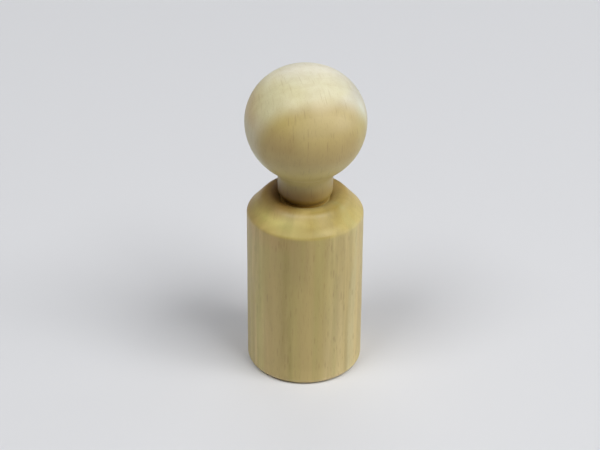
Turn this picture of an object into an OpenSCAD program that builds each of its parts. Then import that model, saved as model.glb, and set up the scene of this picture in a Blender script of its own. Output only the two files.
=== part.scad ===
// Turned beech peg doll: a ball head on a short neck, which turns on a hidden dowel in a
// slope-shouldered body. All sizes are in millimetres, +Z is up and the doll stands on z = 0.

/* [Body] */
// Diameter of the body's straight side
body_d = 22; // [18:0.5:30]
// Height of the body, from the table to the crown of its shoulder
body_h = 36.6; // [30:0.2:50]
// Slope of the shoulder, in degrees above the horizontal
shoulder_slope = 49; // [40:1:60]
// Radius of the softened edge between the side and the sloping shoulder
shoulder_edge_r = 1.1; // [0.3:0.1:2]
// Radius of the rounding at the crown, from the slope over to the seat
crown_round_r = 2.4; // [2:0.1:3]
// Depth of the flat seat below the crown
seat_depth = 1; // [0.8:0.1:1.6]
// Radius of the rounded edge at the base
base_edge_r = 1.2; // [0.4:0.1:2]

/* [Head] */
// How much wider the ball is than the body
head_over = 0.6; // [-1:0.1:3]
// Diameter of the small flat on top, where the ball was cut from its stock
top_flat_d = 2; // [0.8:0.1:3]

/* [Neck] */
// Diameter of the neck
neck_d = 10.4; // [10.2:0.1:12]
// Height of the neck, from the seat to where its side would meet the ball
neck_h = 6.1; // [6:0.1:9]
// Radius of the hollow between the neck and the ball
cove_r = 3; // [1.5:0.1:4]
// Radius of the neck's rounded foot, which curves in to the collar
foot_r = 2; // [1.6:0.1:2.4]
// Height of the open groove between the neck's foot and the seat
groove_h = 0.6; // [0.5:0.1:1.6]
// How far the collar inside the groove, which stands on the seat, lies in from the neck's side
collar_inset = 0.8; // [0.4:0.1:1.4]

/* [Dowel] */
// Diameter of the dowel
peg_d = 6; // [5:0.5:6.5]
// Length of the dowel glued into the head
peg_in_head = 9; // [6:0.5:11]
// Length of the dowel that turns in the body
peg_in_body = 11; // [8:0.5:16]
// Chamfer on both ends of the dowel
peg_chamfer = 0.6; // [0.2:0.1:1]

/* [Fits] */
// Gap all round between the collar and the inner edge of the body's crown
collar_gap = 0.25; // [0.1:0.05:1]
// Gap all round between the turning dowel and its hole in the body
running_gap = 0.05; // [0.02:0.01:0.1]
// Space left between each end of the dowel and the bottom of its hole
end_gap = 1; // [0.5:0.1:2]
// Chamfer at the mouth of the body's hole
mouth_chamfer = 0.4; // [0.2:0.1:0.6]
// Full angle of the drill's point at the bottom of each hole
drill_angle = 118; // [90:1:140]

/* [Hidden] */
$fn = 96;
overrun = 0.5;
body_r = body_d / 2;
neck_r = neck_d / 2;
collar_r = neck_r - collar_inset;
crown_z = body_h - crown_round_r;
seat_z = body_h - seat_depth;
// The crown is the shoulder's highest circle. Its rounding ends on the seat, beside the collar
crown_inner_r = collar_r + collar_gap;
crown_drop = crown_round_r - seat_depth;
crown_r = crown_inner_r + sqrt(crown_round_r * crown_round_r - crown_drop * crown_drop);
// Direction square to the slope, then where the slope touches the crown's rounding and the edge
slope_x = sin(shoulder_slope);
slope_z = cos(shoulder_slope);
slope_top_x = crown_r + crown_round_r * slope_x;
slope_top_z = crown_z + crown_round_r * slope_z;
edge_x = body_r - shoulder_edge_r;
slope_foot_x = edge_x + shoulder_edge_r * slope_x;
slope_foot_z = slope_top_z - (slope_foot_x - slope_top_x) * slope_x / slope_z;
edge_z = slope_foot_z - shoulder_edge_r * slope_z;
head_r = (body_d + head_over) / 2;
top_flat_r = top_flat_d / 2;
peg_r = peg_d / 2;
bore_r = peg_r + running_gap;
drill_slope = tan(drill_angle / 2);
// Height of the ball's centre, so that the neck's side would meet the ball neck_h above the seat
head_z = seat_z + neck_h + sqrt(head_r * head_r - neck_r * neck_r);
// Centre of the foot's rounding, which meets the collar groove_h above the seat
foot_x = neck_r - foot_r;
foot_reach = foot_r - collar_inset;
foot_z = seat_z + groove_h + sqrt(foot_r * foot_r - foot_reach * foot_reach);
// Centre of the hollow under the ball: it touches the neck's side and the ball
cove_x = neck_r + cove_r;
cove_reach = head_r + cove_r;
cove_z = head_z - sqrt(cove_reach * cove_reach - cove_x * cove_x);
// Where the hollow touches the ball
cove_ball_x = cove_x * head_r / cove_reach;
cove_ball_z = head_z - (head_z - cove_z) * head_r / cove_reach;

// A drilled hole that points down from its mouth at z = 0, with the drill's cone at the bottom
module drilled_hole(r, depth) {
  translate([0, 0, -depth])
    cylinder(r = r, h = depth + overrun);
  translate([0, 0, -depth - r / drill_slope])
    cylinder(r1 = 0, r2 = r, h = r / drill_slope);
}

// Half outline of the body, without its hole
module body_outline() {
  square([body_r - base_edge_r, base_edge_r]);
  translate([body_r - base_edge_r, base_edge_r])
    circle(r = base_edge_r);
  translate([0, base_edge_r])
    square([body_r, edge_z - base_edge_r]);
  translate([edge_x, edge_z])
    circle(r = shoulder_edge_r);
  polygon([
    [0, edge_z],
    [edge_x, edge_z],
    [slope_foot_x, slope_foot_z],
    [slope_top_x, slope_top_z],
    [crown_r, crown_z],
    [0, crown_z]
  ]);
  translate([crown_r, crown_z])
    circle(r = crown_round_r);
  translate([0, crown_z])
    square([crown_r, seat_z - crown_z]);
}

module body() {
  color([0.72, 0.62, 0.42])
    difference() {
      rotate_extrude()
        body_outline();
      translate([0, 0, seat_z])
        drilled_hole(bore_r, peg_in_body + end_gap);
      translate([0, 0, seat_z - mouth_chamfer])
        cylinder(r1 = bore_r, r2 = bore_r + mouth_chamfer + overrun, h = mouth_chamfer + overrun);
    }
}

// Half outline of the ball: a circle whose upper half is drawn in by the small flat on top
module ball_outline() {
  intersection() {
    translate([0, head_z])
      circle(r = head_r);
    translate([0, head_z - head_r])
      square([head_r, head_r]);
  }
  intersection() {
    translate([top_flat_r, head_z])
      circle(r = head_r - top_flat_r);
    translate([top_flat_r, head_z])
      square([head_r, head_r]);
  }
  translate([0, head_z])
    square([top_flat_r, head_r - top_flat_r]);
}

// Half outline of the neck: collar, rounded foot, side, and hollow up to the ball
module neck_outline() {
  translate([0, seat_z])
    square([collar_r, head_z - seat_z]);
  translate([foot_x, foot_z])
    circle(r = foot_r);
  translate([0, foot_z])
    square([neck_r, cove_z - foot_z]);
  difference() {
    polygon([
      [0, cove_z],
      [cove_x, cove_z],
      [cove_ball_x, cove_ball_z],
      [0, head_z]
    ]);
    translate([cove_x, cove_z])
      circle(r = cove_r);
  }
}

module head() {
  color([0.84, 0.76, 0.58])
    difference() {
      rotate_extrude() {
        ball_outline();
        neck_outline();
      }
      translate([0, 0, seat_z])
        mirror([0, 0, 1])
          drilled_hole(peg_r, peg_in_head + end_gap);
    }
}

module neck_peg() {
  color([0.79, 0.67, 0.47])
    translate([0, 0, seat_z - peg_in_body]) {
      cylinder(r1 = peg_r - peg_chamfer, r2 = peg_r, h = peg_chamfer);
      translate([0, 0, peg_chamfer])
        cylinder(r = peg_r, h = peg_in_body + peg_in_head - peg_chamfer - peg_chamfer);
      translate([0, 0, peg_in_body + peg_in_head - peg_chamfer])
        cylinder(r1 = peg_r, r2 = peg_r - peg_chamfer, h = peg_chamfer);
    }
}

body();
head();
neck_peg();
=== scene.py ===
import math

import bmesh
import bpy
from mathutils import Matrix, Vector


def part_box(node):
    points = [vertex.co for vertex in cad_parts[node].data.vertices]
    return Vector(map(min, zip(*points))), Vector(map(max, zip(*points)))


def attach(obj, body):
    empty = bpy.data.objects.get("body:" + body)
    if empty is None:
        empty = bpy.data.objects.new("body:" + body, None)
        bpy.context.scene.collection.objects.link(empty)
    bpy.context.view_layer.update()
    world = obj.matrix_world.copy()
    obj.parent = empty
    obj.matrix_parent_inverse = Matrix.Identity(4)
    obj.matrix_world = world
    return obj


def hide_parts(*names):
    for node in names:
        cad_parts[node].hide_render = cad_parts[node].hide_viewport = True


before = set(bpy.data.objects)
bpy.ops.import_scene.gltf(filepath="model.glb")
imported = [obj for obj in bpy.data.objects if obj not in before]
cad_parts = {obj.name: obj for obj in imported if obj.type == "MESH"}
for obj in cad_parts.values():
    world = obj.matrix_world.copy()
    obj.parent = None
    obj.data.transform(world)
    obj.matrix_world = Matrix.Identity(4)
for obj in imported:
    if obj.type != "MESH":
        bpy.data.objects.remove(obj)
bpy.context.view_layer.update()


# Body: one length of beech, turned to a cylinder with a sloping shoulder, a dished crown and a
# rounded edge at the base, then drilled down the middle for the dowel. It is sanded and tumbled
# with a little wax, so the bare wood has a satin sheen. The grain runs upright.
MM = 0.001
body_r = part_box("body")[1].x
BODY_H = 36.6 * MM
SEAT_DEPTH = 1 * MM
CROWN_R = 6.6 * MM
CROWN_ROUND_R = 2.4 * MM
SHOULDER_EDGE_R = 1.1 * MM
SHOULDER_SLOPE = 49
BASE_EDGE_R = 1.2 * MM
seat_z = BODY_H - SEAT_DEPTH
peg_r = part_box("neck_peg")[1].x
peg_foot_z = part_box("neck_peg")[0].z
RUNNING_GAP = 0.05 * MM
HOLE_END_GAP = 1 * MM
MOUTH_CHAMFER = 0.4 * MM
DRILL_ANGLE = 118
bore_r = peg_r + RUNNING_GAP
drill_slope = math.tan(math.radians(DRILL_ANGLE / 2))
BODY_UNEVEN = 0.0022
SANDED_FADE = 1.5 * MM
SHARP_ANGLE = 32
ROUND = 256


def arc(centre_r, centre_z, radius, start, end, steps):
    """Points of a turned curve, as (distance from the axis, height), with angles in degrees."""
    points = []
    for i in range(steps + 1):
        angle = math.radians(start + (end - start) * i / steps)
        points.append((centre_r + radius * math.cos(angle), centre_z + radius * math.sin(angle)))
    return points


def straight(start, end, steps):
    """Points of a straight cut, without its first point."""
    points = []
    for i in range(1, steps + 1):
        share = i / steps
        points.append(tuple(a + (b - a) * share for a, b in zip(start, end)))
    return points


def drilled_hole(mouth_z, end_z, radius, towards):
    """The cut of a drill on the axis: its wall from the mouth to end_z, then the drill's cone."""
    tip_z = end_z + towards * radius / drill_slope
    return straight((radius, mouth_z), (radius, end_z), 12) + straight((radius, end_z), (0, tip_z), 6)


def unevenness(angle, z, amount):
    """How far hand sanding left the surface off true at this place, as a share of its radius."""
    oval = 0.6 * math.cos(2 * angle + 0.7)
    slow = 0.5 * math.sin(3 * angle + z / (2.1 * MM) + 1.3) * math.sin(z / (4.7 * MM))
    fine = 0.35 * math.sin(7 * angle - z / (1.6 * MM)) * math.sin(5 * angle + z / (3.1 * MM) + 0.4)
    return amount * (oval + slow + fine)


def turn_on_lathe(name, outline, sanded_from, sanded_to, amount):
    """Turns a closed outline round the axis. Only the sanded stretch between two heights is uneven."""
    mesh = bpy.data.meshes.new(name)
    build = bmesh.new()
    rings = []
    for radius, z in outline:
        if radius < 1e-7:
            rings.append([build.verts.new((0, 0, z))])
            continue
        fade = min(1, max(0, min(z - sanded_from, sanded_to - z) / SANDED_FADE))
        ring = []
        for i in range(ROUND):
            angle = 2 * math.pi * i / ROUND
            r = radius
            if radius > bore_r + MOUTH_CHAMFER:
                r = radius * (1 + unevenness(angle, z, amount) * fade)
            ring.append(build.verts.new((r * math.cos(angle), r * math.sin(angle), z)))
        rings.append(ring)
    for lower, upper in zip(rings, rings[1:]):
        for i in range(ROUND):
            j = (i + 1) % ROUND
            corners = [lower[i % len(lower)]]
            if len(lower) > 1:
                corners.append(lower[j])
            if len(upper) > 1:
                corners.append(upper[j])
            corners.append(upper[i % len(upper)])
            build.faces.new(corners)
    bmesh.ops.recalc_face_normals(build, faces=build.faces)
    build.to_mesh(mesh)
    build.free()
    mesh.shade_smooth()
    mesh.set_sharp_from_angle(angle=math.radians(SHARP_ANGLE))
    piece = bpy.data.objects.new(name, mesh)
    bpy.context.scene.collection.objects.link(piece)
    return piece


def feed(tree, value, socket):
    """Sets a socket to a value, or joins another node's output to it."""
    if isinstance(value, bpy.types.NodeSocket):
        tree.links.new(value, socket)
    else:
        socket.default_value = value


def node(tree, kind, out=0, settings=None, **inputs):
    """Adds a node with its settings and inputs, and returns one of its outputs."""
    made = tree.nodes.new(kind)
    for key, value in (settings or {}).items():
        setattr(made, key, value)
    for key, value in inputs.items():
        feed(tree, value, made.inputs[key.replace("_", " ")])
    return made.outputs[out]


def math_step(tree, operation, *values):
    """A Math node: one step of working out a value."""
    made = tree.nodes.new("ShaderNodeMath")
    made.operation = operation
    for value, socket in zip(values, made.inputs):
        feed(tree, value, socket)
    return made.outputs[0]


def vector_step(tree, operation, *values):
    """A Vector Math node: one step of working out a place."""
    made = tree.nodes.new("ShaderNodeVectorMath")
    made.operation = operation
    for value, socket in zip(values, made.inputs):
        feed(tree, value, socket)
    return made.outputs[0]


def spread(tree, value, low, high, to_low=0.0, to_high=1.0):
    """A smooth step of value from low to high."""
    made = tree.nodes.new("ShaderNodeMapRange")
    made.interpolation_type = "SMOOTHSTEP"
    feed(tree, value, made.inputs["Value"])
    made.inputs["From Min"].default_value = low
    made.inputs["From Max"].default_value = high
    made.inputs["To Min"].default_value = to_low
    made.inputs["To Max"].default_value = to_high
    return made.outputs["Result"]


def stain(tree, share, under, over):
    """Mixes two colours by share."""
    made = tree.nodes.new("ShaderNodeMix")
    made.data_type = "RGBA"
    feed(tree, share, made.inputs[0])
    feed(tree, under, made.inputs[6])
    feed(tree, over, made.inputs[7])
    return made.outputs[2]


def tinted(tree, share, colour, tint):
    """Multiplies a colour by a tint, by share."""
    made = tree.nodes.new("ShaderNodeMix")
    made.data_type = "RGBA"
    made.blend_type = "MULTIPLY"
    feed(tree, share, made.inputs[0])
    feed(tree, colour, made.inputs[6])
    feed(tree, tint, made.inputs[7])
    return made.outputs[2]


def beech_grain_group():
    """Beech as a solid: growth rings round a pith beside the piece, short dark rays, fine pores."""
    tree = bpy.data.node_groups.new("beech_grain", "ShaderNodeTree")
    face = tree.interface
    for label, kind, default in (
        ("Place", "NodeSocketVector", (0, 0, 0)),
        ("Pith Turn", "NodeSocketFloat", 0.0),
        ("Pith Distance", "NodeSocketFloat", 60.0),
        ("Lean", "NodeSocketFloat", 0.0),
        ("Ring Width", "NodeSocketFloat", 3.0),
        ("Ring Strength", "NodeSocketFloat", 0.4),
        ("Ray Strength", "NodeSocketFloat", 0.6),
        ("Streaks", "NodeSocketFloat", 0.4),
        ("Dark Years", "NodeSocketFloat", 0.0),
        ("Calm Above", "NodeSocketFloat", 1000.0),
        ("Pale Edge", "NodeSocketFloat", 0.0),
        ("Pale Above", "NodeSocketFloat", 0.0),
        ("Pale Wood", "NodeSocketColor", (0.7, 0.65, 0.45, 1)),
        ("Early Wood", "NodeSocketColor", (0.64, 0.51, 0.22, 1)),
        ("Late Wood", "NodeSocketColor", (0.46, 0.33, 0.13, 1)),
        ("Ray Wood", "NodeSocketColor", (0.3, 0.19, 0.07, 1)),
    ):
        socket = face.new_socket(name=label, in_out="INPUT", socket_type=kind)
        socket.default_value = default
    face.new_socket(name="Color", in_out="OUTPUT", socket_type="NodeSocketColor")
    face.new_socket(name="Roughness", in_out="OUTPUT", socket_type="NodeSocketFloat")
    face.new_socket(name="Height", in_out="OUTPUT", socket_type="NodeSocketFloat")
    given = tree.nodes.new("NodeGroupInput").outputs

    # Millimetres, with the fibres wandering a little and leaning off the piece's axis.
    place = vector_step(tree, "SCALE", given["Place"])
    place.node.inputs["Scale"].default_value = 1000
    slow_place = vector_step(tree, "MULTIPLY", place, (0.05, 0.05, 0.018))
    wander = node(tree, "ShaderNodeTexNoise", "Color", Vector=slow_place, Scale=1.0, Detail=2.0)
    wander = vector_step(tree, "SUBTRACT", wander, (0.5, 0.5, 0.5))
    wander = vector_step(tree, "MULTIPLY", wander, (2.4, 2.4, 0.0))
    place = vector_step(tree, "ADD", place, wander)
    turned = node(tree, "ShaderNodeVectorRotate", 0, {"rotation_type": "Z_AXIS"},
                  Vector=place, Angle=given["Pith Turn"])
    parts = tree.nodes.new("ShaderNodeSeparateXYZ")
    feed(tree, turned, parts.inputs[0])
    lean = math_step(tree, "MULTIPLY", parts.outputs["Z"], given["Lean"])
    across = math_step(tree, "ADD", parts.outputs["X"], given["Pith Distance"])
    across = math_step(tree, "ADD", across, lean)
    along = parts.outputs["Z"]

    # Distance from the pith, and the way round it measured at the piece's own distance.
    squares = math_step(tree, "MULTIPLY", across, across)
    squares = math_step(tree, "MULTIPLY_ADD", parts.outputs["Y"], parts.outputs["Y"], squares)
    depth = math_step(tree, "SQRT", squares)
    turn = math_step(tree, "ARCTAN2", parts.outputs["Y"], across)
    round_way = math_step(tree, "MULTIPLY", turn, given["Pith Distance"])

    # Growth rings of uneven width, which darken slowly and end in a fine line.
    years = math_step(tree, "DIVIDE", depth, given["Ring Width"])
    uneven = node(tree, "ShaderNodeTexNoise", 0, {"noise_dimensions": "1D"},
                  W=years, Scale=0.43, Detail=1.0)
    years = math_step(tree, "MULTIPLY_ADD", uneven, 2.2, years)
    season = math_step(tree, "FRACT", years)
    late = spread(tree, season, 0.25, 0.93)
    ended = spread(tree, season, 0.95, 1.0, 1.0, 0.0)
    late = math_step(tree, "MULTIPLY", late, ended)
    above = math_step(tree, "SUBTRACT", along, given["Calm Above"])
    figure = spread(tree, above, -1.0, 1.0, 1.0, 0.3)

    # The years inside the pale edge are pale, with little figure.
    pale_edge = math_step(tree, "SUBTRACT", given["Pale Edge"], depth)
    paled = spread(tree, pale_edge, -1.7, 1.7)
    over = spread(tree, math_step(tree, "SUBTRACT", along, given["Pale Above"]), -1.5, 1.5)
    paled = math_step(tree, "MULTIPLY", paled, over)
    quieter = spread(tree, paled, 0.0, 1.0, 1.0, 0.5)
    late = math_step(tree, "MULTIPLY", late, math_step(tree, "MULTIPLY", given["Ring Strength"], figure))
    late = math_step(tree, "MULTIPLY", late, quieter)

    # Rays: thin sheets that run out from the pith, so they show as short dark dashes.
    ragged = node(tree, "ShaderNodeTexNoise", 0, Vector=place, Scale=0.9, Detail=1.0)
    shifted = math_step(tree, "MULTIPLY_ADD", ragged, 1.4, along)
    fleck_parts = []
    for width, height, run, low, shown in ((0.44, 3.2, 6.0, 0.30, 1.0), (0.28, 1.9, 3.0, 0.12, 0.7)):
        cell = tree.nodes.new("ShaderNodeCombineXYZ")
        feed(tree, math_step(tree, "DIVIDE", round_way, width), cell.inputs[0])
        feed(tree, math_step(tree, "DIVIDE", depth, run), cell.inputs[1])
        feed(tree, math_step(tree, "DIVIDE", shifted, height), cell.inputs[2])
        cells = tree.nodes.new("ShaderNodeTexVoronoi")
        cells.voronoi_dimensions = "3D"
        cells.inputs["Scale"].default_value = 1.0
        feed(tree, cell.outputs[0], cells.inputs["Vector"])
        picked = tree.nodes.new("ShaderNodeSeparateColor")
        feed(tree, cells.outputs["Color"], picked.inputs[0])
        spot = spread(tree, cells.outputs["Distance"], 0.10, 0.40, 1.0, 0.0)
        chosen = spread(tree, picked.outputs[0], low, 0.9)
        spot = math_step(tree, "MULTIPLY", spot, chosen)
        fleck_parts.append(math_step(tree, "MULTIPLY", spot, shown))
    flecks = math_step(tree, "MAXIMUM", fleck_parts[0], fleck_parts[1])
    ray_share = math_step(tree, "MULTIPLY", flecks, given["Ray Strength"])
    ray_share = math_step(tree, "MULTIPLY", ray_share, figure)
    ray_share = math_step(tree, "MULTIPLY", ray_share, quieter)

    # Pores: hair-fine strokes along the fibres.
    pore_place = vector_step(tree, "MULTIPLY", place, (5.5, 5.5, 0.42))
    pores = node(tree, "ShaderNodeTexNoise", 0, Vector=pore_place, Scale=1.0, Detail=2.0)
    pores = spread(tree, pores, 0.54, 0.72)

    # Streaks of darker wood, wider ones that are pinker or yellower, and some darker years.
    streak_place = vector_step(tree, "MULTIPLY", place, (0.75, 0.75, 0.03))
    streaks = node(tree, "ShaderNodeTexNoise", 0, Vector=streak_place, Scale=1.0, Detail=3.0)
    streaks = spread(tree, streaks, 0.36, 0.66)
    tone_place = vector_step(tree, "MULTIPLY", place, (0.42, 0.42, 0.02))
    tone = node(tree, "ShaderNodeTexNoise", "Color", Vector=tone_place, Scale=1.0, Detail=1.0)
    pinker = tree.nodes.new("ShaderNodeSeparateColor")
    feed(tree, tone, pinker.inputs[0])
    pinker = spread(tree, pinker.outputs[2], 0.4, 0.6)
    from_dark = math_step(tree, "ABSOLUTE", math_step(tree, "SUBTRACT", depth, given["Dark Years"]))
    dark_years = spread(tree, from_dark, 1.0, 2.2, 1.0, 0.0)

    wood = stain(tree, paled, given["Early Wood"], given["Pale Wood"])
    wood = stain(tree, late, wood, given["Late Wood"])
    wood = stain(tree, math_step(tree, "MULTIPLY", dark_years, 0.8), wood, given["Late Wood"])
    figure = math_step(tree, "MULTIPLY", figure, given["Streaks"])
    wood = stain(tree, math_step(tree, "MULTIPLY", streaks, figure), wood, given["Late Wood"])
    wood = tinted(tree, math_step(tree, "MULTIPLY", pinker, figure), wood, (1.0, 0.95, 1.03, 1))
    wood = stain(tree, math_step(tree, "MULTIPLY", pores, 0.16), wood, given["Ray Wood"])
    wood = stain(tree, ray_share, wood, given["Ray Wood"])

    rough = math_step(tree, "MULTIPLY_ADD", pores, 0.12, 0.44)
    rough = math_step(tree, "MULTIPLY_ADD", flecks, -0.06, rough)
    height = math_step(tree, "MULTIPLY_ADD", pores, -0.35, 0.5)
    height = math_step(tree, "MULTIPLY_ADD", flecks, -0.25, height)
    height = math_step(tree, "MULTIPLY_ADD", late, 0.3, height)
    result = tree.nodes.new("NodeGroupOutput").inputs
    feed(tree, wood, result["Color"])
    feed(tree, rough, result["Roughness"])
    feed(tree, height, result["Height"])
    return tree


beech_grain = beech_grain_group()


# How far, in degrees, an upright band of the wood wanders, and how wide its soft border is,
# from where it is full to where it is gone, as shares of its half width.
BAND_WANDER = 14
BAND_FULL_SHARE = 0.3
BAND_GONE_SHARE = 1.4


def waxed_beech(name, toned=(), bands=(), **grain):
    """Turned, sanded and waxed beech. toned lists where the colour differs, from wax and end grain, and
    where it holds painted shade and painted light: a tint, then one or more (way, clear, full), where
    way is X, Y, Z or Radius. bands lists upright bands in the wood, and one painted sheen: degrees to
    the right of the front, half width, tint. The other values are the inputs of beech_grain."""
    material = bpy.data.materials.new(name)
    material.use_nodes = True
    tree = material.node_tree
    wood = tree.nodes["Principled BSDF"]
    grown = tree.nodes.new("ShaderNodeGroup")
    grown.node_tree = beech_grain
    place = node(tree, "ShaderNodeTexCoord", "Object")
    feed(tree, place, grown.inputs["Place"])
    for key, value in grain.items():
        grown.inputs[key.replace("_", " ").title()].default_value = value
    relief = tree.nodes.new("ShaderNodeBump")
    relief.inputs["Strength"].default_value = 0.5
    relief.inputs["Distance"].default_value = 0.03 * MM
    feed(tree, grown.outputs["Height"], relief.inputs["Height"])
    parts = tree.nodes.new("ShaderNodeSeparateXYZ")
    feed(tree, place, parts.inputs[0])
    ways = {"X": parts.outputs["X"], "Y": parts.outputs["Y"], "Z": parts.outputs["Z"]}
    flat = vector_step(tree, "MULTIPLY", place, (1.0, 1.0, 0.0))
    ways["Radius"] = vector_step(tree, "LENGTH", flat).node.outputs["Value"]
    colour = grown.outputs["Color"]
    towards_front = math_step(tree, "MULTIPLY", parts.outputs["Y"], -1)
    turn = math_step(tree, "ARCTAN2", parts.outputs["X"], towards_front)
    bend_place = vector_step(tree, "MULTIPLY", place, (90, 90, 60))
    bend = node(tree, "ShaderNodeTexNoise", 0, Vector=bend_place, Scale=1.0, Detail=1.0)
    wander = math_step(tree, "MULTIPLY", bend, BAND_WANDER)
    turn = math_step(tree, "MULTIPLY_ADD", turn, math.degrees(1), wander)
    broken_place = vector_step(tree, "MULTIPLY", place, (500, 500, 110))
    broken = node(tree, "ShaderNodeTexNoise", 0, Vector=broken_place, Scale=1.0, Detail=2.0)
    broken = spread(tree, broken, 0.3, 0.6, 0.35, 1.0)
    for middle, half_width, tint in bands:
        off = math_step(tree, "SUBTRACT", turn, middle + BAND_WANDER / 2)
        away = math_step(tree, "ABSOLUTE", off)
        share = spread(tree, away, BAND_FULL_SHARE * half_width, BAND_GONE_SHARE * half_width, 1.0, 0.0)
        colour = tinted(tree, math_step(tree, "MULTIPLY", share, broken), colour, (*tint, 1))
    for tint, *limits in toned:
        share = 1.0
        for way, clear, full in limits:
            reached = spread(tree, ways[way], clear, full)
            share = math_step(tree, "MULTIPLY", reached, share)
        colour = tinted(tree, share, colour, (*tint, 1))
    feed(tree, colour, wood.inputs["Base Color"])
    feed(tree, grown.outputs["Roughness"], wood.inputs["Roughness"])
    feed(tree, relief.outputs["Normal"], wood.inputs["Normal"])
    wood.inputs["Coat Weight"].default_value = 0.2
    wood.inputs["Coat Roughness"].default_value = 0.4
    return material


tilt = 90 - SHOULDER_SLOPE
crown_z = BODY_H - CROWN_ROUND_R
cone_top = arc(CROWN_R, crown_z, CROWN_ROUND_R, tilt, tilt, 1)[0]
edge_x = body_r - SHOULDER_EDGE_R
cone_foot_x = edge_x + SHOULDER_EDGE_R * math.cos(math.radians(tilt))
cone_foot_z = cone_top[1] - (cone_foot_x - cone_top[0]) / math.tan(math.radians(tilt))
edge_z = cone_foot_z - SHOULDER_EDGE_R * math.sin(math.radians(tilt))
seat_turn = 90 + math.degrees(math.acos(1 - SEAT_DEPTH / CROWN_ROUND_R))
body_outline = [(0, 0)]
body_outline += straight((0, 0), (body_r - BASE_EDGE_R, 0), 14)
body_outline += arc(body_r - BASE_EDGE_R, BASE_EDGE_R, BASE_EDGE_R, -90, 0, 14)[1:]
body_outline += straight((body_r, BASE_EDGE_R), (body_r, edge_z), 70)
body_outline += arc(edge_x, edge_z, SHOULDER_EDGE_R, 0, tilt, 10)[1:]
body_outline += straight(body_outline[-1], cone_top, 12)
body_outline += arc(CROWN_R, crown_z, CROWN_ROUND_R, tilt, seat_turn, 24)[1:]
body_outline += straight(body_outline[-1], (bore_r + MOUTH_CHAMFER, seat_z), 6)
body_outline += straight(body_outline[-1], (bore_r, seat_z - MOUTH_CHAMFER), 2)
body_outline += drilled_hole(seat_z - MOUTH_CHAMFER, peg_foot_z - HOLE_END_GAP, bore_r, -1)
body = turn_on_lathe("body_turned", body_outline, 1 * MM, seat_z - 1 * MM, BODY_UNEVEN)
on_shoulder = ("Z", edge_z, cone_foot_z)
on_crown = ("Z", edge_z, seat_z)
body.data.materials.append(waxed_beech(
    "body_beech",
    toned=(
        # The back is warmer. The side grows paler towards the base. Its edge is paler still, with
        # painted light over the shade where it meets the floor.
        ((1.05, 0.97, 0.94), ("Y", -3 * MM, 4 * MM)),
        ((1.06, 1.06, 1.10), ("Z", 22 * MM, 8 * MM)),
        ((1.06, 1.07, 1.10), ("Z", 4.5 * MM, 2 * MM)),
        # Painted light on the base edge, over the shade where it meets the floor.
        ((1.25, 1.24, 1.38), ("Z", 1.6 * MM, 0.3 * MM)),
        # Two faint darker places lie low on the right and high in the middle.
        ((0.94, 0.94, 0.94), ("Z", 19 * MM, 14 * MM), ("X", 3 * MM, 5 * MM), ("X", 9.5 * MM, 8 * MM)),
        ((0.92, 0.91, 0.92), ("Z", 20 * MM, 25 * MM), ("Z", cone_foot_z, edge_z),
         ("X", -3.6 * MM, -2 * MM), ("X", 1.4 * MM, 0.2 * MM)),
        # The end grain of the shoulder is yellower. Under its edge the left side is pinker.
        ((0.95, 0.95, 0.80), ("Z", edge_z - 1.2 * MM, cone_foot_z + 1 * MM)),
        ((1.02, 0.95, 0.98), ("Z", edge_z - 4 * MM, edge_z - 1 * MM),
         ("Z", cone_foot_z + 1.5 * MM, cone_foot_z), ("X", -1 * MM, -4 * MM)),
        # The left of the shoulder is darker, which is painted shade, apart from a pale patch low on it
        # in front, which is a painted highlight.
        ((0.78, 0.76, 0.78), on_shoulder, ("X", -7.5 * MM, -10.5 * MM)),
        ((0.88, 0.82, 0.83), on_shoulder, ("X", 0, -7 * MM), ("Radius", 9.6 * MM, 8.6 * MM)),
        # A painted highlight low on the left of the shoulder in front.
        ((1.14, 1.24, 1.24), on_shoulder, ("X", -8.6 * MM, -5.6 * MM), ("X", 0, -3.5 * MM),
         ("Radius", 7.4 * MM, 9.2 * MM)),
        # The right of the shoulder is a deeper yellow, and darker in a band that is the head's painted
        # shadow.
        ((0.90, 0.87, 0.75), on_shoulder, ("X", -0.5 * MM, 2.5 * MM), ("X", 9.8 * MM, 8.5 * MM),
         ("Radius", 8 * MM, 9 * MM)),
        ((0.82, 0.78, 0.53), on_shoulder, ("X", -0.5 * MM, 1.5 * MM), ("X", 7.6 * MM, 5.6 * MM),
         ("Radius", 6.6 * MM, 7.8 * MM), ("Radius", 10.4 * MM, 9.6 * MM)),
        # The crown is darker and browner with painted shade under the ball, deepest beside the neck on
        # the left. Close round the neck on the right it is lighter, with painted light.
        ((0.85, 0.81, 0.84), ("Z", cone_top[1] - 1.2 * MM, BODY_H)),
        ((0.66, 0.58, 0.46), on_crown, ("Radius", 9.4 * MM, 6.4 * MM), ("X", 1 * MM, -4 * MM)),
        ((0.66, 0.56, 0.42), on_crown, ("Radius", 7.2 * MM, 5.8 * MM), ("X", -0.5 * MM, -4.5 * MM)),
        # Painted light close round the neck on the right.
        ((1.15, 1.2, 1.35), on_crown, ("Radius", 6.4 * MM, 5.6 * MM), ("X", -5 * MM, 1 * MM)),
    ),
    bands=(
        (-53, 6, (0.90, 0.94, 0.85)),
        (-37, 7, (1.09, 1.07, 1.12)),
        (-19, 6, (0.84, 0.84, 0.75)),
        (12, 4, (0.95, 0.97, 0.96)),
        (32, 16, (0.91, 0.92, 0.96)),
        (33, 4, (0.92, 0.92, 0.93)),
        # This paler, bluer band near the right edge is a painted sheen, not a band in the wood.
        (55, 7, (0.97, 1.05, 1.22)),
    ),
    pith_turn=math.radians(100),
    pith_distance=52.0,
    calm_above=edge_z / MM,
    lean=0.02,
    ring_width=3.1,
    ring_strength=0.34,
    ray_strength=0.5,
    streaks=0.75,
    dark_years=63.5,
    early_wood=(0.59, 0.481, 0.187, 1),
    late_wood=(0.415, 0.325, 0.104, 1),
    ray_wood=(0.33, 0.225, 0.075, 1),
))
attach(body, "body")
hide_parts("body")


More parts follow.
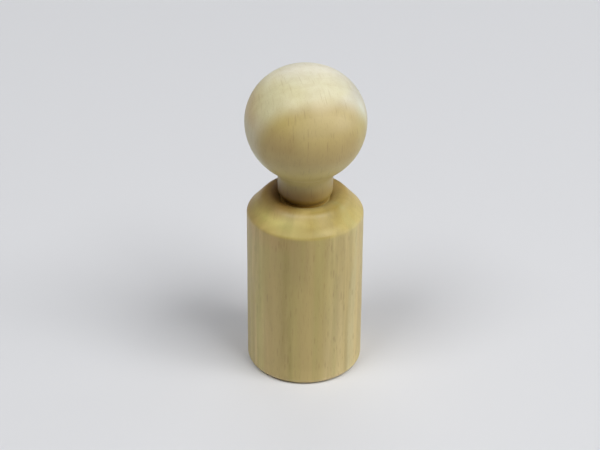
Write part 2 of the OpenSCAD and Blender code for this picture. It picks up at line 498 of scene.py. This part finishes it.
# Dowel: a plain beech rod, cut to length with both ends chamfered. It is glued into the head and
# turns in the body's hole, so it is hidden from every side.
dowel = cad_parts["neck_peg"]
dowel.data.materials.clear()
dowel.data.materials.append(waxed_beech(
    "dowel_beech",
    pith_turn=math.radians(200),
    pith_distance=40.0,
    lean=0.0,
    ring_width=2.4,
    ring_strength=0.3,
    ray_strength=0.5,
))


# Head: a beech ball turned in one with its neck, which stands on the body's seat by a small
# collar. A small flat on top is left where the ball was cut from its stock. The grain leans, and
# its inner years are pale, so the top and the left are creamier than the tan oval in front.
HEAD_R = 11.3 * MM
TOP_FLAT_R = 1.0 * MM
NECK_H = 6.1 * MM
NECK_R = 5.2 * MM
COVE_R = 3 * MM
FOOT_R = 2 * MM
GROOVE_H = 0.6 * MM
COLLAR_R = 4.4 * MM
HEAD_UNEVEN = 0.0018
head_z = seat_z + NECK_H + math.sqrt(HEAD_R ** 2 - NECK_R ** 2)
head_top = head_z + HEAD_R - TOP_FLAT_R
foot_x = NECK_R - FOOT_R
foot_turn = math.degrees(math.acos((COLLAR_R - foot_x) / FOOT_R))
foot_z = seat_z + GROOVE_H + FOOT_R * math.sin(math.radians(foot_turn))
cove_x = NECK_R + COVE_R
cove_z = head_z - math.sqrt((HEAD_R + COVE_R) ** 2 - cove_x ** 2)
cove_end = 180 - math.degrees(math.atan2(head_z - cove_z, cove_x))
ball_start = math.degrees(math.atan2(cove_z - head_z, cove_x))
dowel_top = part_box("neck_peg")[1].z

head_outline = drilled_hole(seat_z, dowel_top + HOLE_END_GAP, peg_r, 1)[::-1]
head_outline += [(peg_r, seat_z)]
head_outline += straight((peg_r, seat_z), (COLLAR_R, seat_z), 3)
head_outline += straight((COLLAR_R, seat_z), (COLLAR_R, seat_z + GROOVE_H), 3)
head_outline += arc(foot_x, foot_z, FOOT_R, -foot_turn, 0, 14)[1:]
head_outline += straight((NECK_R, foot_z), (NECK_R, cove_z), 6)
head_outline += arc(cove_x, cove_z, COVE_R, 180, cove_end, 14)[1:]
head_outline += arc(0, head_z, HEAD_R, ball_start, 0, 50)[1:]
head_outline += arc(TOP_FLAT_R, head_z, HEAD_R - TOP_FLAT_R, 0, 90, 70)[1:]
head_outline += straight(head_outline[-1], (0, head_top), 3)
head = turn_on_lathe("head_turned", head_outline, cove_z, head_top + 1 * MM, HEAD_UNEVEN)
on_neck = ("Z", cove_z + 2 * MM, cove_z - 1.5 * MM)
head.data.materials.append(waxed_beech(
    "head_beech",
    toned=(
        # The pale cap is whitest at its top, where the whitening is a painted reflection, and yellower
        # towards the front on the left.
        ((1.20, 1.21, 1.42), ("Y", -4 * MM, 2 * MM), ("Z", head_z + 6 * MM, head_z + 9 * MM)),
        ((0.92, 0.91, 0.87), ("Y", -4 * MM, -7 * MM), ("X", -8 * MM, -4 * MM),
         ("Z", head_z + 5 * MM, head_z + 7 * MM)),
        ((1.0, 0.99, 0.88), ("X", 2 * MM, -2 * MM), ("Z", head_z + 2 * MM, head_z + 5 * MM),
         ("Z", head_z + 10.2 * MM, head_z + 9 * MM)),
        # The ball is darker lower down, and over the neck this darkening is painted shade. Its tan oval
        # is greyer at the top and browner on the left.
        ((0.82, 0.76, 0.66), ("Z", head_z + 5 * MM, head_z - 1 * MM)),
        ((0.98, 0.99, 1.13), ("X", -4 * MM, -1 * MM), ("Z", head_z + 1.5 * MM, head_z + 3.5 * MM),
         ("Z", head_z + 8 * MM, head_z + 6.6 * MM)),
        ((0.95, 0.91, 0.86), ("X", -0.5 * MM, -3 * MM), ("X", -8 * MM, -6 * MM),
         ("Z", head_z - 2 * MM, head_z), ("Z", head_z + 4.5 * MM, head_z + 2.5 * MM)),
        # The left side is warmer, with a pale upper edge. The right side has a darker upper edge, and
        # its rim is paler with a painted reflection of the floor.
        ((0.97, 0.88, 0.80), ("X", -8.4 * MM, -10.2 * MM), ("Z", head_z + 1 * MM, head_z + 3 * MM)),
        ((1.0, 0.95, 0.88), ("X", -6.5 * MM, -9 * MM), ("Z", head_z, head_z + 2 * MM),
         ("Z", head_z + 9 * MM, head_z + 7 * MM)),
        ((1.06, 1.06, 1.08), ("X", -3 * MM, -7 * MM), ("Y", -5 * MM, -1 * MM),
         ("Z", head_z + 4 * MM, head_z + 7 * MM)),
        ((0.90, 0.90, 0.90), ("X", 3 * MM, 7 * MM), ("Y", -5 * MM, -1 * MM),
         ("Z", head_z + 3 * MM, head_z + 6 * MM)),
        # Painted reflection of the floor along the right rim.
        ((1.08, 1.16, 1.21), ("X", 8.5 * MM, 10.4 * MM), ("Y", 0, -3 * MM),
         ("Z", head_z + 8 * MM, head_z + 4 * MM)),
        # The front of the ball's underside is paler, a painted reflection of the floor and shoulder,
        # and the back of the head is warmer.
        # Painted reflection of the floor and shoulder on the front of the ball's underside.
        ((1.16, 1.27, 1.42), ("Z", head_z - 2.6 * MM, head_z - 6.5 * MM), ("Y", 2 * MM, -2 * MM)),
        ((0.98, 0.90, 0.72), ("Y", 4.5 * MM, 8 * MM)),
        # The neck is darker and browner with painted shade under the ball, deepest on the left. The
        # right of its foot is paler, with painted light.
        ((0.80, 0.71, 0.50), on_neck),
        ((0.70, 0.63, 0.46), on_neck, ("X", 6 * MM, -3 * MM)),
        ((0.78, 0.68, 0.50), ("Z", cove_z, foot_z + 0.3 * MM), ("X", 5 * MM, 1 * MM)),
        ((0.72, 0.66, 0.55), ("Z", cove_z - 1 * MM, foot_z - 1 * MM), ("X", 2 * MM, -4 * MM)),
        # Painted light on the right of the neck's foot.
        ((1.5, 1.5, 1.6), ("Z", foot_z, foot_z - 1.4 * MM), ("X", -5 * MM, 2 * MM)),
    ),
    pith_turn=math.radians(75),
    pith_distance=70.0,
    lean=-0.244,
    ring_width=3.4,
    ring_strength=0.14,
    ray_strength=0.45,
    streaks=0.12,
    pale_edge=63.2,
    pale_above=45.0,
    pale_wood=(0.67, 0.64, 0.45, 1),
    early_wood=(0.53, 0.425, 0.17, 1),
    late_wood=(0.43, 0.33, 0.12, 1),
    ray_wood=(0.34, 0.24, 0.095, 1),
))
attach(head, "head")
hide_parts("head")


# Floor: a plain pale sheet of matt paper, far wider than any view of the doll. It is what the
# doll stands on and isn't part of it.
def plain_sheet(name, colour, half_width):
    mesh = bpy.data.meshes.new(name)
    build = bmesh.new()
    for x, y in ((-1, -1), (1, -1), (1, 1), (-1, 1)):
        build.verts.new((x * half_width, y * half_width, 0))
    build.faces.new(build.verts[:])
    build.to_mesh(mesh)
    build.free()
    sheet = bpy.data.objects.new(name, mesh)
    bpy.context.scene.collection.objects.link(sheet)
    material = bpy.data.materials.new(name)
    material.use_nodes = True
    paper = material.node_tree.nodes["Principled BSDF"]
    paper.inputs["Base Color"].default_value = (*colour, 1)
    paper.inputs["Roughness"].default_value = 0.7
    mesh.materials.append(material)


plain_sheet("floor", (0.66, 0.67, 0.70), 3.0)


# Light: five soft panels. The brightest is high in front on the right, with a weaker one high in
# front on the left, a low one on the right, a faint high one behind, and a faint cool one low
# behind on the right.
world = bpy.data.worlds.new("studio")
bpy.context.scene.world = world
world.use_nodes = True
world.node_tree.nodes["Background"].inputs["Color"].default_value = (0.86, 0.90, 1.0, 1)
world.node_tree.nodes["Background"].inputs["Strength"].default_value = 0.06
PANEL_AWAY = 1.8


def soft_panel(name, turn, height, width, power, colour):
    """A square lamp that faces the doll. turn and height are in degrees, turn as seen from above,
    where 0 is to the right."""
    lamp = bpy.data.lights.new(name, "AREA")
    lamp.shape = "SQUARE"
    lamp.size = width
    lamp.energy = power
    lamp.color = colour
    panel = bpy.data.objects.new(name, lamp)
    bpy.context.scene.collection.objects.link(panel)
    level = math.cos(math.radians(height))
    x = level * math.cos(math.radians(turn))
    y = level * math.sin(math.radians(turn))
    panel.location = Vector((x, y, math.sin(math.radians(height)))) * PANEL_AWAY
    panel.rotation_euler = panel.location.to_track_quat("Z", "Y").to_euler()
    panel.visible_camera = False


soft_panel("panel_right", -36, 58, 0.95, 21.5, (1.0, 0.99, 0.97))
soft_panel("panel_left", -139, 62, 0.75, 13.5, (1.0, 0.99, 0.97))
soft_panel("panel_side", -14, 17, 0.75, 7.0, (1.0, 0.99, 0.97))
soft_panel("panel_back", 90, 58, 0.90, 3.0, (0.95, 0.97, 1.0))
soft_panel("panel_rim", 28, 14, 1.20, 4.0, (0.90, 0.96, 1.0))


# Camera: at the photograph's distance, looking down on the doll at the photograph's angle, with
# its slight roll.
CAMERA_AWAY = 396 * MM
CAMERA_ABOVE = math.radians(31.4)
CAMERA_ROLL = math.radians(0.33)
DOLL_MIDDLE = Vector((0, 0, 31.02 * MM))
SCREEN_SHIFT = (5.07, 7.65)
FOCUS_PX = 2098.1
SENSOR_MM = 36
IMAGE_WIDTH_PX = 600
back = Vector((0, -math.cos(CAMERA_ABOVE), math.sin(CAMERA_ABOVE)))
screen_up = Vector((0, math.sin(CAMERA_ABOVE), math.cos(CAMERA_ABOVE)))
pixel = CAMERA_AWAY / FOCUS_PX
aim = DOLL_MIDDLE - Vector((SCREEN_SHIFT[0] * pixel, 0, 0)) - screen_up * SCREEN_SHIFT[1] * pixel
lens = bpy.data.cameras.new("camera")
lens.sensor_width = SENSOR_MM
lens.lens = FOCUS_PX * SENSOR_MM / IMAGE_WIDTH_PX
camera = bpy.data.objects.new("camera", lens)
bpy.context.scene.collection.objects.link(camera)
camera.location = DOLL_MIDDLE + back * CAMERA_AWAY
look = (aim - camera.location).to_track_quat("-Z", "Y").to_matrix()
camera.rotation_euler = look.to_euler()
camera.rotation_euler.rotate_axis("Z", CAMERA_ROLL)
bpy.context.scene.camera = camera
bpy.context.scene.view_settings.view_transform = "Standard"
